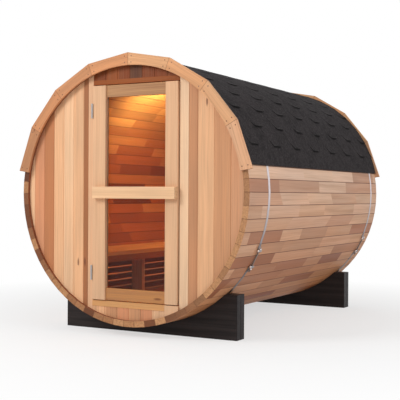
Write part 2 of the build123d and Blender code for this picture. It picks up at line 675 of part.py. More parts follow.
# Butt hinges: the frame's knuckles are the odd ones and hold the pin
def hinge_leaves(on_door):
    knuckle = (HINGE_LENGTH - (HINGE_KNUCKLES - 1) * KNUCKLE_GAP) / HINGE_KNUCKLES
    plate_x = LEAF_LEFT - JOINT_GAP if on_door else HINGE_JAMB_RIGHT + JOINT_GAP
    plate_side = Align.MAX if on_door else Align.MIN
    middles = (LEAF_TOP - UPPER_HINGE_PLACE, LEAF_BOTTOM + LOWER_HINGE_PLACE)
    own = range(1 if on_door else 0, HINGE_KNUCKLES, 2)
    other = [number for number in range(HINGE_KNUCKLES) if number not in own]
    with BuildPart() as leaves:
        for middle in middles:
            bottom = middle - HINGE_LENGTH / 2
            with Locations((plate_x, HINGE_AXIS_Y, bottom)):
                Box(
                    HINGE_PLATE,
                    HINGE_PLATE_DEPTH,
                    HINGE_LENGTH,
                    align=(plate_side, Align.MIN, Align.MIN),
                )
            # The plate is cut away beside the other leaf's knuckles
            for number in other:
                cut_start = bottom + number * (knuckle + KNUCKLE_GAP) - KNUCKLE_GAP
                with BuildSketch(Plane.XY.offset(cut_start)):
                    with Locations((HINGE_AXIS_X, HINGE_AXIS_Y)):
                        RegularPolygon(
                            KNUCKLE_RADIUS + KNUCKLE_GAP,
                            SMALL_ROUND_SIDES,
                            major_radius=False,
                        )
                extrude(amount=knuckle + 2 * KNUCKLE_GAP, mode=Mode.SUBTRACT)
            for number in own:
                with BuildSketch(Plane.XY.offset(bottom + number * (knuckle + KNUCKLE_GAP))):
                    with Locations((HINGE_AXIS_X, HINGE_AXIS_Y)):
                        RegularPolygon(KNUCKLE_RADIUS, SMALL_ROUND_SIDES)
                extrude(amount=knuckle)
            with BuildSketch(Plane.XY.offset(bottom)):
                with Locations((HINGE_AXIS_X, HINGE_AXIS_Y)):
                    Circle(PIN_RADIUS + PIN_CLEARANCE if on_door else PIN_RADIUS)
            extrude(amount=HINGE_LENGTH, mode=Mode.SUBTRACT if on_door else Mode.ADD)
    return leaves


export(hinge_leaves(False), "hinge_frame_leaves")
export(hinge_leaves(True), "hinge_door_leaves")


# Bench along the left side, between the end walls
BENCH_TOP = BARREL_BOTTOM + BENCH_HEIGHT
BENCH_START = STOP_BACK_Y + BENCH_END_GAP
BENCH_END = REAR_WALL_BACK_Y - BENCH_END_GAP
BENCH_LENGTH = BENCH_END - BENCH_START
SEAT_UNDERSIDE = BENCH_TOP - SEAT_SLAT_THICKNESS
RAIL_UNDERSIDE = SEAT_UNDERSIDE - BENCH_RAIL_HEIGHT
SEAT_DEPTH = SEAT_SLATS * SEAT_SLAT_WIDTH + (SEAT_SLATS - 1) * SEAT_SLAT_GAP
stave_x = -sqrt(INSIDE_RADIUS**2 - (AXIS_Z - SEAT_UNDERSIDE) ** 2)
BENCH_FRONT_X = stave_x + BENCH_WALL_GAP + SEAT_DEPTH

with BuildPart() as bench_seat:
    with BuildSketch(Plane.XY.offset(SEAT_UNDERSIDE)):
        for number in range(SEAT_SLATS):
            right = BENCH_FRONT_X - number * (SEAT_SLAT_WIDTH + SEAT_SLAT_GAP)
            with Locations((right, BENCH_START)):
                Rectangle(SEAT_SLAT_WIDTH, BENCH_LENGTH, align=(Align.MAX, Align.MIN))
    extrude(amount=SEAT_SLAT_THICKNESS)
export(bench_seat, "bench_seat")

with BuildPart() as bench_rail:
    with BuildSketch(Plane.XY.offset(RAIL_UNDERSIDE)):
        with Locations((BENCH_FRONT_X, BENCH_START)):
            Rectangle(BENCH_RAIL_THICKNESS, BENCH_LENGTH, align=(Align.MAX, Align.MIN))
    extrude(amount=BENCH_RAIL_HEIGHT)
export(bench_rail, "bench_rail")

POST_RIGHT = BENCH_FRONT_X - BENCH_RAIL_THICKNESS
support_step = (BENCH_LENGTH - BENCH_SUPPORT_THICKNESS - FIRST_SUPPORT_PLACE) / (BENCH_SUPPORTS - 1)
with BuildPart() as bench_supports:
    for number in range(BENCH_SUPPORTS):
        start = BENCH_START + FIRST_SUPPORT_PLACE / 2 + number * support_step
        with BuildSketch(cross_plane(start)):
            with Locations((POST_RIGHT, BARREL_BOTTOM - AXIS_Z)):
                Rectangle(
                    BENCH_POST_WIDTH,
                    SEAT_UNDERSIDE - BARREL_BOTTOM,
                    align=(Align.MAX, Align.MIN),
                )
            with Locations((POST_RIGHT, RAIL_UNDERSIDE - AXIS_Z)):
                Rectangle(BARREL_RADIUS, BENCH_RAIL_HEIGHT, align=(Align.MAX, Align.MIN))
            Circle(INSIDE_RADIUS, mode=Mode.INTERSECT)
        extrude(amount=-BENCH_SUPPORT_THICKNESS)
export(bench_supports, "bench_supports")

# As many skirt slats as there is room for above the staves
skirt_x = POST_RIGHT - BENCH_POST_WIDTH
skirt_floor = AXIS_Z - sqrt(INSIDE_RADIUS**2 - (abs(skirt_x) + SKIRT_SLAT_THICKNESS) ** 2)
skirt_slats = int((RAIL_UNDERSIDE - skirt_floor) / SKIRT_PITCH)
with BuildPart() as bench_skirt:
    with BuildSketch(Plane.XZ.offset(-BENCH_END)):
        for number in range(skirt_slats):
            top = RAIL_UNDERSIDE - (SKIRT_PITCH - SKIRT_SLAT_HEIGHT) - number * SKIRT_PITCH
            with Locations((skirt_x, top)):
                Rectangle(
                    SKIRT_SLAT_THICKNESS,
                    SKIRT_SLAT_HEIGHT,
                    align=(Align.MAX, Align.MAX),
                )
    extrude(amount=BENCH_LENGTH)
export(bench_skirt, "bench_skirt")
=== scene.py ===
from math import ceil, cos, floor, pi, radians, sin

import bmesh
import bpy
from bpy.props import FloatProperty, FloatVectorProperty, IntProperty, PointerProperty
from mathutils import Matrix, Vector, noise


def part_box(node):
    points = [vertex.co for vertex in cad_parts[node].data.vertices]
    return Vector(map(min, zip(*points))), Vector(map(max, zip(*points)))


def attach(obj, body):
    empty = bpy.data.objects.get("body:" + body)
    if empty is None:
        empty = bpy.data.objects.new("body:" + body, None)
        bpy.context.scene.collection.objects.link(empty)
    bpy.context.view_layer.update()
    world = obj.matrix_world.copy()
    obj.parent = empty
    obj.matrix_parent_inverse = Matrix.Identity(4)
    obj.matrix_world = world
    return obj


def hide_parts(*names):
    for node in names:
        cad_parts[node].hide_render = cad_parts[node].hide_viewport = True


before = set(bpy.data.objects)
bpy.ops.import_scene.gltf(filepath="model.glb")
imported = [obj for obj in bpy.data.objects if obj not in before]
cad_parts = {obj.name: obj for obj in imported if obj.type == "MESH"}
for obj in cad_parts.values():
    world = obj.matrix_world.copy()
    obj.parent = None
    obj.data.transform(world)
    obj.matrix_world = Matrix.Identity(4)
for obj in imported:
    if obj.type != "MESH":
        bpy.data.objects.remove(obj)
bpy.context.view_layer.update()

bl_info = {
    "name": "Barrel Sauna",
    "version": (1, 0, 0),
    "blender": (4, 5, 0),
    "location": "View3D > Sidebar > Barrel Sauna",
    "description": "Finishes and fittings of a barrel sauna of cedar staves",
    "category": "Add Mesh",
}

# Places read from the frame, in metres
STAVES = sorted(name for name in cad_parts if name.startswith("staves_"))
FRONT_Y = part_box("staves_crown")[0].y
REAR_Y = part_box("staves_crown")[1].y
WALL_FACE_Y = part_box("front_wall_left")[0].y
HINGE_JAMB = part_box("hinge_jamb")
LATCH_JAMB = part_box("latch_jamb")

# The barrel
BARREL_RADIUS = 0.900
AXIS_Z = 0.970
STAVE_COUNT = 66
FIRST_SEAM = radians(0.45)
STAVE_ANGLE = 2 * pi / STAVE_COUNT
STAVE_WIDTH = STAVE_ANGLE * BARREL_RADIUS
INNER_RADIUS = 0.866  # the staves' inner faces lie within it

# The end walls, with fillers beside the jambs, and the bench
WALL_BOARD = 0.0854
LEFT_BOARDS = 6
LEFT_FILLER = 0.041
RIGHT_BOARD = 0.1205
RIGHT_BOARDS = 3
RIGHT_FILLER = 0.067
JAMB_GAP = 0.0003
DOOR_BOARDS = 7
BENCH_SLAT = 0.0865
BENCH_FRONT_X = -0.30

# The board arches and their screws
ARCH_BOARDS = 8
ARCH_START = radians(9.4)
ARCH_BOARD_ANGLE = (pi - 2 * ARCH_START) / ARCH_BOARDS
ARCH_THICKNESS = 0.018
ARCH_SCREW_INSET = radians(1.7)
ARCH_SCREW_RADII = (0.870, 0.912)

# The roof: heights are over its seat, and a strip's angles and the ends are in rows
ROOF_SEAT = 0.9018
ROOF_INSET = 0.0004
ROOF_FRONT = FRONT_Y + ROOF_INSET
ROOF_REAR = REAR_Y - ROOF_INSET
ROOF_LENGTH = ROOF_REAR - ROOF_FRONT
ROOF_COLUMNS = 12
RIDGE_GAP = 0.002  # radians
STARTER_STRIP = ((0.0, 0.0055), (0.35, 0.0052), (0.7, 0.005), (1.05, 0.0045))
PLAIN_ROW = ((0.0, 0.0082), (0.5, 0.0078), (1.0, 0.0076), (1.5, 0.0076), (2.12, 0.0076))
HEAD_HEIGHT = 0.0076
HEAD_END = 2.12
HEAD_SHARES = (0.0, 0.14, 0.3, 0.5, 0.75, 1.0)
TAB_HEIGHT = 0.0078
TAB_END = 1.02
TAB_SHARES = (0.0, 0.06, 0.14, 0.3, 0.5, 0.75, 1.0)
TAB_COLUMNS = 4
LEAST_TAB = 0.02
CURL_LEAST = 0.12
CURL_GROWTH = 1.9
CURL_TOP = 0.72  # share of the rows above which a tab curls least
CAP_EXPOSURE = 0.145
CAP_LENGTH = 1.7  # in exposures
CAP_HEIGHT = 0.0125
CAP_FALL = 0.0022
CAP_DEGREES = (-9.5, -6, -3, 0, 3, 6, 9.5)

# The hoops and their tensioners
BAND_GAP = 0.0003
BAND_SEAMS = range(-4, 60)
FOLD_STEPS = 12
FOLD_SLOT = 0.010
FOLD_TAIL = ((0.55, 0.013), (-0.45, 0.024), (-1.0, 0.032), (-1.0, 0.048))  # height by the loop, and run
CROSS_BARREL_HALF = 0.022
CROSS_BARREL_CHAMFER = 0.0018
SCREW_ABOVE = 0.019
SCREW_BELOW = 0.041
SCREW_POINT = 0.0002
THREAD_STEP = 0.0016
THREAD_DEPTH = 0.0007
NUT_HEIGHT = 0.008
NUT_BEVEL = 0.001

# Turned outlines, as radius and height from end to end
NUT = (
    (0.0056, 0.0), (0.0078, 0.0), (0.0092, NUT_BEVEL),
    (0.0092, NUT_HEIGHT - NUT_BEVEL), (0.0078, NUT_HEIGHT), (0.0056, NUT_HEIGHT),
)
SCREW_HEAD = (
    (0.0001, 0.0001), (0.0016, 0.0001), (0.0020, 0.0003), (0.0038, 0.0003),
    (0.0044, 0.0001), (0.0040, -0.002), (0.0001, -0.003),
)

# Shades laid over a tone, and the floor's greys
STREAK_BROWN = (0.30, 0.135, 0.07, 1)
LINE_BROWN = (0.28, 0.13, 0.07, 1)
RING_BROWN = (0.1, 0.045, 0.025, 1)
END_BROWN = (0.14, 0.06, 0.03, 1)
BROAD_LIGHT = (1.12, 1.07, 1.03, 1)
# Painted shade for the lower staves
LOW_SHADE = (0.75, 0.50, 0.30, 1)
FLOOR_GREYS = (0.86, 0.86, 0.86, 1), (0.88, 0.88, 0.88, 1)
WHITE = (1, 1, 1, 1)


def tint(red, green, blue):
    """A colour given on the 0 to 255 scale of a screen, as the shader's own values."""
    def level(value):
        share = value / 255
        if share <= 0.04045:
            return share / 12.92
        return ((share + 0.055) / 1.055) ** 2.4

    return (level(red), level(green), level(blue), 1.0)


# Tones of the staves by chance: outside, in the cabin with painted warm lamp light, and on the ends
STAVE_TONES = [
    (0.0, tint(146, 96, 76)),
    (0.07, tint(178, 132, 108)),
    (0.20, tint(202, 164, 138)),
    (0.45, tint(214, 178, 150)),
    (0.65, tint(222, 188, 164)),
    (0.85, tint(206, 168, 144)),
    (0.95, tint(188, 146, 120)),
    (1.0, tint(158, 112, 92)),
]
CABIN_GLOW_TONES = [
    (0.0, tint(128, 58, 30)),
    (0.25, tint(178, 92, 46)),
    (0.6, tint(206, 118, 62)),
    (1.0, tint(236, 162, 92)),
]
STAVE_END_TONES = [
    (0.0, tint(94, 54, 34)),
    (0.26, tint(128, 78, 50)),
    (0.42, tint(190, 136, 92)),
    (0.85, tint(220, 166, 118)),
    (1.0, tint(150, 98, 64)),
]
# Boards of an arch, from the right-hand end over the top to the left-hand end
ARCH_TONES = (
    tint(222, 172, 134),
    tint(222, 170, 126),
    tint(218, 162, 116),
    tint(228, 172, 124),
    tint(210, 148, 102),
    tint(206, 144, 100),
    tint(198, 138, 96),
    tint(184, 130, 92),
)


def colour(name, description, default):
    return FloatVectorProperty(
        name=name, description=description, subtype="COLOR", size=4, min=0, max=1, default=default
    )


def measure(name, description, default, unit="LENGTH"):
    return FloatProperty(name=name, description=description, default=default, unit=unit)


class CedarColours(bpy.types.PropertyGroup):
    """The tones of the wall boards."""

    cream: colour("Cream", "Palest boards", tint(234, 191, 151))
    pale: colour("Pale", "Common pale boards", tint(228, 179, 137))
    pink: colour("Pink", "Pinkish boards", tint(211, 147, 109))
    rosy: colour("Rosy", "Third broad board on the right", tint(214, 160, 122))
    tan: colour("Tan", "Middle boards", tint(206, 152, 112))
    hazel: colour("Hazel", "Filler beside the latch jamb", tint(196, 142, 104))
    brown: colour("Brown", "Brown boards", tint(184, 122, 82))
    umber: colour("Umber", "Filler beside the hinge jamb", tint(160, 104, 68))
    # Painted shade: the boards over the door stand in the arch's shadow, and these three tones are darkened
    # for it over the boards' own browner wood
    shaded: colour("Shaded", "Smoky boards over the door", tint(118, 54, 15))
    shaded_red: colour("Smoky", "Redder board over the door", tint(138, 70, 26))
    black: colour("Black", "Darkest board over the door", tint(74, 40, 24))


class DoorColours(bpy.types.PropertyGroup):
    """The tones of the doorway and the door."""

    stile: colour("Stile", "Uprights of the leaf", tint(218, 176, 139))
    hinge_jamb: colour("Hinge jamb", "Post that carries the hinges", tint(221, 177, 140))
    latch_jamb: colour("Latch jamb", "Post on the latch side", tint(237, 200, 163))
    top_rail: colour("Top rail", "Upper rail of the leaf", tint(182, 138, 97))
    bottom_rail: colour("Bottom rail", "Lower rail of the leaf", tint(184, 130, 80))
    pull_bar: colour("Pull bar", "Level bar across the leaf", tint(234, 195, 154))
    # Painted shade: the head's tone is darkened for the arch's shadow that falls on it
    head: colour("Head", "Board over the leaf", tint(144, 73, 22))
    sill: colour("Sill", "Board under the leaf", tint(212, 157, 102))


class BenchColours(bpy.types.PropertyGroup):
    """The tones of the bench."""

    # Painted light: the seat slats are raised to a pale orange for the lit seat under the warm cabin lamps,
    # and the rail and skirt are orange for the same glow; the skirt is darker as painted shade under the
    # seat
    pale_slat: colour("Pale slat", "Paler seat slats", tint(255, 200, 128))
    tan_slat: colour("Tan slat", "Darker seat slats", tint(250, 182, 112))
    rail: colour("Rail", "Rail under the front of the seat", tint(176, 102, 62))
    skirt: colour("Skirt", "Slats below the rail", tint(124, 66, 42))
    support: colour("Support", "Posts of the bench", tint(226, 180, 142))


class RoofSizes(bpy.types.PropertyGroup):
    """The tab shingles."""

    pitch: measure("Pitch", "From tab to tab", 0.348)
    toe: measure("Toe", "Level lower edge of a tab", 0.112)
    first_toe: measure("First toe", "Front edge to the middle of the first tab", 0.163)
    sheet: measure("Sheet", "Thickness of a shingle", 0.0026)
    cap_sheet: measure("Cap sheet", "Thickness of a ridge cap", 0.002)
    lift: measure("Lift", "Most that a tab curls up", 0.0095)
    courses: IntProperty(name="Courses", description="Rows of shingles on each side", default=9, min=2)
    edge_angle: measure("Edge angle", "Angle of the lower edge", radians(11.5), "ROTATION")
    felt: colour("Felt", "Mineral surface", tint(44, 40, 41))


class HoopSizes(bpy.types.PropertyGroup):
    """The steel hoops and their tensioners."""

    width: measure("Width", "Width of the band", 0.028)
    thickness: measure("Thickness", "Thickness of the band", 0.0012)
    cross_barrel: measure("Cross barrel", "Radius of a cross barrel", 0.0088)
    screw: measure("Screw", "Radius of the screw", 0.0052)
    upper_end: measure("Upper end", "Angle of the band's upper end", radians(-24.3), "ROTATION")
    lower_end: measure("Lower end", "Angle of the band's lower end", radians(-31.9), "ROTATION")


class MetalColours(bpy.types.PropertyGroup):
    """The hoops, hinges and screws."""

    hoop: colour("Hoop", "Steel of the hoops", tint(218, 209, 213))
    zinc: colour("Zinc", "Cross barrels and nuts of the hoops", tint(246, 243, 243))
    rod: colour("Rod", "Threaded screws of the hoops", tint(118, 108, 102))
    hinge: colour("Hinge", "Steel of the hinges", tint(178, 178, 180))
    screw: colour("Screw", "Screw heads in the arches", tint(122, 84, 62))


class CradleColours(bpy.types.PropertyGroup):
    """The stained cradles."""

    stain: colour("Stain", "Dark stain", tint(54, 47, 46))
    end: colour("End", "Stained end grain", tint(34, 28, 29))


class StageSettings(bpy.types.PropertyGroup):
    """Camera and lights."""

    lens: measure("Lens", "Focal length in millimetres", 80.82, "CAMERA")
    heading: measure("Heading", "Turn of the camera to the left", radians(29.048), "ROTATION")
    tilt: measure("Tilt", "Fall of the camera's view", radians(0.331), "ROTATION")
    roll: measure("Roll", "Turn of the picture", radians(0.339), "ROTATION")
    camera: FloatVectorProperty(
        name="Camera", description="Place of the camera", subtype="TRANSLATION", unit="LENGTH",
        default=(3.3336, -6.2597, 0.9584),
    )
    key: measure("Key", "Power of the large soft lamp", 228.0, "POWER")
    fill: measure("Fill", "Power of the lamp on the right", 130.0, "POWER")
    cabin: measure("Cabin", "Power of the warm lamp in the cabin", 4.8, "POWER")
    cabin_fill: measure("Cabin fill", "Power of the lamp towards the bench", 7.0, "POWER")
    bench: measure("Bench", "Power of the lamp under the bench", 2.6, "POWER")
    sky: measure("Sky", "Strength of the even light", 0.5, "NONE")


def sum_of(operation, swapped=False):
    """A method that adds the node for one kind of sum."""
    def method(self, other=0.0):
        values = (other, self) if swapped else (self, other)
        return self.nodes.math(operation, *values)

    return method


class Value:
    """A value in a tree of nodes. Sums of values add the nodes that work them out."""

    def __init__(self, nodes, socket):
        self.nodes = nodes
        self.socket = socket

    __add__ = sum_of("ADD")
    __sub__ = sum_of("SUBTRACT")
    __rsub__ = sum_of("SUBTRACT", swapped=True)
    __mul__ = sum_of("MULTIPLY")
    __truediv__ = sum_of("DIVIDE")
    __mod__ = sum_of("MODULO")
    __lt__ = sum_of("LESS_THAN")
    __gt__ = sum_of("GREATER_THAN")
    __abs__ = sum_of("ABSOLUTE")


class Nodes:
    """The tree of nodes of a material or of the world. A value may be a plain number too."""

    def __init__(self, tree):
        self.tree = tree

    def add(self, kind, **settings):
        node = self.tree.nodes.new(kind)
        for key, value in settings.items():
            setattr(node, key, value)
        return node

    def join(self, value, socket):
        if isinstance(value, Value):
            self.tree.links.new(value.socket, socket)
        else:
            socket.default_value = value

    def fill(self, node, *values):
        """Set a node's first inputs and give its first output."""
        for value, socket in zip(values, node.inputs):
            self.join(value, socket)
        return Value(self, node.outputs[0])

    def math(self, operation, first, second=0.0):
        return self.fill(self.add("ShaderNodeMath", operation=operation), first, second)

    def vector(self, x, y, z):
        return self.fill(self.add("ShaderNodeCombineXYZ"), x, y, z)

    def span(self, value, low, high, start=0.0, end=1.0):
        """From start to end as the value goes from low to high, and no further."""
        return self.fill(self.add("ShaderNodeMapRange", clamp=True), value, low, high, start, end)

    def split(self, output):
        """The x, y and z of a texture coordinate."""
        parts = self.add("ShaderNodeSeparateXYZ")
        self.tree.links.new(self.add("ShaderNodeTexCoord").outputs[output], parts.inputs[0])
        return [Value(self, part) for part in parts.outputs]

    def place(self):
        """The x, y and z of a point."""
        return self.split("Object")

    def facing(self):
        """The x, y and z of the surface's direction."""
        return self.split("Normal")

    def reach(self, first, second):
        """How far from the middle these two places are."""
        return self.math("SQRT", first * first + second * second)

    def angle(self, up, x):
        """The angle round the barrel's axis."""
        return self.math("ARCTAN2", up, x)

    def along(self, facing, least=0.7):
        """One where the surface looks along an axis, either way."""
        return abs(facing) > least

    def to_edge(self, place, width):
        """The distance from a place to the nearer edge."""
        return self.math("MINIMUM", place, width - place)

    def chance(self, number, seed):
        """A random share for each whole number."""
        node = self.add("ShaderNodeTexWhiteNoise", noise_dimensions="1D")
        self.join(number + seed, node.inputs["W"])
        return Value(self, node.outputs["Value"])

    def cloud(self, vector, scale=1.0, detail=4.0):
        """Soft noise."""
        node = self.add("ShaderNodeTexNoise")
        self.join(vector, node.inputs["Vector"])
        node.inputs["Scale"].default_value = scale
        node.inputs["Detail"].default_value = detail
        node.inputs["Roughness"].default_value = 0.55
        return Value(self, node.outputs[0])

    def cells(self, dimensions, place):
        """Random cells: two shares of chance for each, and the distance to its middle."""
        node = self.add("ShaderNodeTexVoronoi", voronoi_dimensions=dimensions)
        self.join(place, node.inputs["W" if dimensions == "1D" else "Vector"])
        node.inputs["Scale"].default_value = 1.0
        parts = self.add("ShaderNodeSeparateColor")
        self.tree.links.new(node.outputs["Color"], parts.inputs[0])
        sockets = (parts.outputs[0], parts.outputs[1], node.outputs["Distance"])
        return [Value(self, socket) for socket in sockets]

    def ramp(self, value, stops, stepped=False):
        """Colours at rising shares, blended or in steps."""
        node = self.add("ShaderNodeValToRGB")
        node.color_ramp.interpolation = "CONSTANT" if stepped else "LINEAR"
        elements = node.color_ramp.elements
        while len(elements) < len(stops):
            elements.new(1.0)
        for element, (share, shade) in zip(elements, stops):
            element.position = share
            element.color = shade
        return self.fill(node, value)

    def mix(self, share, first, second, blend="MIX"):
        node = self.add("ShaderNodeMix", data_type="RGBA", blend_type=blend)
        for value, number in ((share, 0), (first, 6), (second, 7)):
            self.join(value, node.inputs[number])
        return Value(self, node.outputs[2])


class Finish(Nodes):
    """One material, built node by node. Places are the model's own metres at rest."""

    def __init__(self, name, roughness=0.5):
        self.material = bpy.data.materials.new(name)
        self.material.use_nodes = True
        super().__init__(self.material.node_tree)
        self.surface = self.tree.nodes["Principled BSDF"]
        self.rough(roughness)

    def colour(self, value):
        self.join(value, self.surface.inputs["Base Color"])

    def rough(self, value):
        self.join(value, self.surface.inputs["Roughness"])

    def bump(self, height, depth, strength):
        node = self.add("ShaderNodeBump")
        node.inputs["Distance"].default_value = depth
        node.inputs["Strength"].default_value = strength
        self.join(height, node.inputs["Height"])
        self.tree.links.new(node.outputs[0], self.surface.inputs["Normal"])


def grain(finish, tone, along, across, through, board, contrast=0.30):
    """Cedar's long streaks and fine lines over a tone, with the board's own start."""
    start = board * 7.31
    wander = finish.cloud(finish.vector(along * 1.6 + start, 0.0, board), detail=2.0)
    across = across + wander * 0.03

    def streaks(length, width, detail):
        """Soft noise drawn out along the board."""
        place = finish.vector(along * length + start, across * width, through * width)
        return finish.cloud(place, detail=detail)

    streak = streaks(0.8, 26, 3.0)
    line = streaks(2.2, 150, 2.0)
    broad = streaks(1.7, 6, 1.0)
    shade = finish.mix(finish.span(streak, 0.42, 0.72, 0.0, contrast), tone, STREAK_BROWN)
    shade = finish.mix(finish.span(line, 0.42, 0.72, 0.0, contrast), shade, LINE_BROWN)
    shade = finish.mix(finish.span(broad, 0.35, 0.65), shade, BROAD_LIGHT, "MULTIPLY")
    finish.rough(finish.span(streak, 0.3, 0.7, 0.46, 0.62))
    finish.bump(line * 0.7 + streak * 0.3, 0.0006, 0.6)
    return shade


def knots(finish, shade, along, across, board, share=0.10):
    """A few small knots, each in its own cell of the board."""
    place = finish.vector(along * 3.1 + board * 3.7, across * 12, 0.0)
    pick, _, distance = finish.cells("2D", place)
    spot = finish.span(distance, 0.05, 0.12, 1.0, 0.0) * (pick < share)
    return finish.mix(spot * 0.75, shade, tint(104, 58, 40))


def end_grain(finish, shade, facing, tone, x, z):
    """Growth rings where the surface looks along the grain."""
    place = finish.vector(x, 0.0, z)
    rings = finish.add("ShaderNodeTexWave", wave_type="RINGS", rings_direction="SPHERICAL")
    finish.join(place, rings.inputs["Vector"])
    rings.inputs["Scale"].default_value = 38.0
    rings.inputs["Distortion"].default_value = 3.0
    dark = finish.mix(0.6, tone, RING_BROWN)
    ring = finish.mix(Value(finish, rings.outputs[1]) * 0.35, tone, dark)
    stain = finish.cloud(place, scale=70.0)
    ring = finish.mix(finish.span(stain, 0.4, 0.7, 0.0, 0.45), ring, END_BROWN)
    return finish.mix(finish.along(facing), shade, ring)


def wear(finish, *nodes):
    """Put a finish on nodes of the frame."""
    for node in nodes:
        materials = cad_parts[node].data.materials
        materials.clear()
        materials.append(finish.material)


def wood_finish(name):
    """Planed raw cedar has little gloss."""
    finish = Finish(name)
    finish.surface.inputs["Specular IOR Level"].default_value = 0.2
    return finish


def board_finish(
    name, direction, shades, width=None, origin=0.0, edges=None, seed=0.0, contrast=0.30, knotty=0.0
):
    """Boards along X, Y or Z. The tone is by chance, in steps between edges, or just one."""
    finish = wood_finish(name)
    x, y, z = finish.place()
    along, across, through = {"X": (x, z, y), "Y": (y, x, z), "Z": (z, x, y)}[direction]
    facing = finish.facing()["XYZ".index(direction)]
    if edges:
        low, high = edges[0], edges[-1]
        stops = [((edge - low) / (high - low), shade) for edge, shade in zip(edges, shades)]
        tone = finish.ramp(finish.span(across, low, high), stops, stepped=True)
        board = finish.math("FLOOR", across * 11.0)
    elif width:
        board = finish.math("FLOOR", (across - origin) / width)
        stops = [((number + 0.5) / len(shades), shade) for number, shade in enumerate(shades)]
        tone = finish.ramp(finish.chance(board, seed + 0.37), stops)
    else:
        board = seed
        tone = shades[0]
    shade = grain(finish, tone, along, across, through, board, contrast)
    if knotty:
        shade = knots(finish, shade, along, across, board, knotty)
    finish.colour(end_grain(finish, shade, facing, tone, across, through))
    return finish


def stave_finish():
    """Finger-jointed staves with dark seams, end grain, painted shade low down and on the rims, and painted
    warm light inside.
    """
    finish = wood_finish("stave_cedar")
    x, y, z = finish.place()
    up = z - AXIS_Z
    turn = (finish.angle(up, x) + 2 * pi - FIRST_SEAM) / STAVE_ANGLE
    stave = finish.math("FLOOR", turn) % STAVE_COUNT
    arc = finish.math("FRACT", turn) * STAVE_WIDTH
    radius = finish.reach(x, up)
    # Some joints slant
    slant = finish.span(finish.chance(stave, 21.5), 0.0, 1.0, -1.0, 1.0)
    slant = finish.math("POWER", abs(slant), 4.0) * finish.math("SIGN", slant)
    slanted = y + slant * arc * 1.3
    pick, other = finish.cells("1D", slanted * 1.75 + stave * 31.7)[:2]
    board = stave + other * 40.0
    # Painted shade: lower staves are darker and browner, for the shade and warm bounce under the barrel
    tone = finish.ramp(pick, STAVE_TONES)
    low = finish.mix(1.0, tone, LOW_SHADE, "MULTIPLY")
    tone = finish.mix(finish.span(z, 0.2, 1.1, 1.0, 0.0), tone, low)
    # Painted shade darkens the inside on the rims in front of the end walls, in the recess
    inside = radius < INNER_RADIUS
    between = abs(y) < -WALL_FACE_Y
    tone = finish.mix(inside * (1.0 - between), tone, tint(128, 74, 48))
    # Painted light: between the end walls the inside takes orange tones for the warm cabin lamp, paling to
    # yellow near the ceiling where the lamp light pools
    warm = finish.ramp(pick, CABIN_GLOW_TONES)
    warm = finish.mix(finish.span(z, 1.3, 1.72, 0.0, 0.55), warm, tint(244, 196, 112))
    tone = finish.mix(inside * between, tone, warm)
    shade = grain(finish, tone, y, arc, radius, board, 0.26)
    # Dark line where two staves meet
    seam = finish.span(finish.to_edge(arc, STAVE_WIDTH), 0.0012, 0.0034, 0.85, 0.0)
    shade = finish.mix(seam, shade, tint(96, 56, 40))
    # Stave ends, paler towards the right
    facing_y = finish.facing()[1]
    end_tone = finish.ramp(finish.chance(stave, 9.6), STAVE_END_TONES)
    end_tone = finish.mix(finish.span(x, 0.2, 0.7, 0.0, 0.6), end_tone, tint(210, 156, 110))
    shade = end_grain(finish, shade, facing_y, end_tone, x, up)
    finish.colour(finish.mix(finish.along(facing_y) * (seam * 0.6), shade, tint(90, 52, 36)))
    return finish


def trim_finish():
    """Arch boards, each with its grain along itself."""
    finish = wood_finish("arch_cedar")
    x, y, z = finish.place()
    up = z - AXIS_Z
    turn = (finish.angle(up, x) - ARCH_START) / ARCH_BOARD_ANGLE
    board = finish.math("FLOOR", turn)
    middle = (board + 0.5) * ARCH_BOARD_ANGLE + ARCH_START
    cosine = finish.math("COSINE", middle)
    sine = finish.math("SINE", middle)
    across = x * cosine + up * sine
    along = up * cosine - x * sine
    stops = [(number / ARCH_BOARDS, shade) for number, shade in enumerate(ARCH_TONES)]
    tone = finish.ramp(turn / ARCH_BOARDS, stops, stepped=True)
    shade = grain(finish, tone, along, across, y, board + 11.0, 0.36)
    shade = knots(finish, shade, along, across, board + 11.0)
    joint = finish.span(finish.to_edge(finish.math("FRACT", turn), 1.0), 0.002, 0.006, 0.75, 0.0)
    finish.colour(finish.mix(joint, shade, tint(104, 60, 40)))
    return finish


def stain_finish(colours):
    """Dark stain over coarse grain, darker on the ends of the planks."""
    finish = Finish("cradle_stain", 0.42)
    finish.surface.inputs["Specular IOR Level"].default_value = 0.13
    x, y, z = finish.place()
    streak = finish.cloud(finish.vector(x * 1.5, y * 30, z * 34))
    line = finish.cloud(finish.vector(x * 4, y * 260, z * 260), detail=2.0)
    shade = finish.mix(finish.span(streak, 0.35, 0.65, 0.0, 0.75), colours.stain, tint(26, 22, 22))
    finish.colour(finish.mix(finish.along(finish.facing()[0]), shade, colours.end))
    finish.rough(finish.span(streak, 0.3, 0.7, 0.34, 0.5))
    finish.bump(line + streak * 0.6, 0.0008, 0.7)
    return finish


def row_angle(roof):
    """The angle that each row of shingles covers."""
    return (pi / 2 - roof.edge_angle) / roof.courses


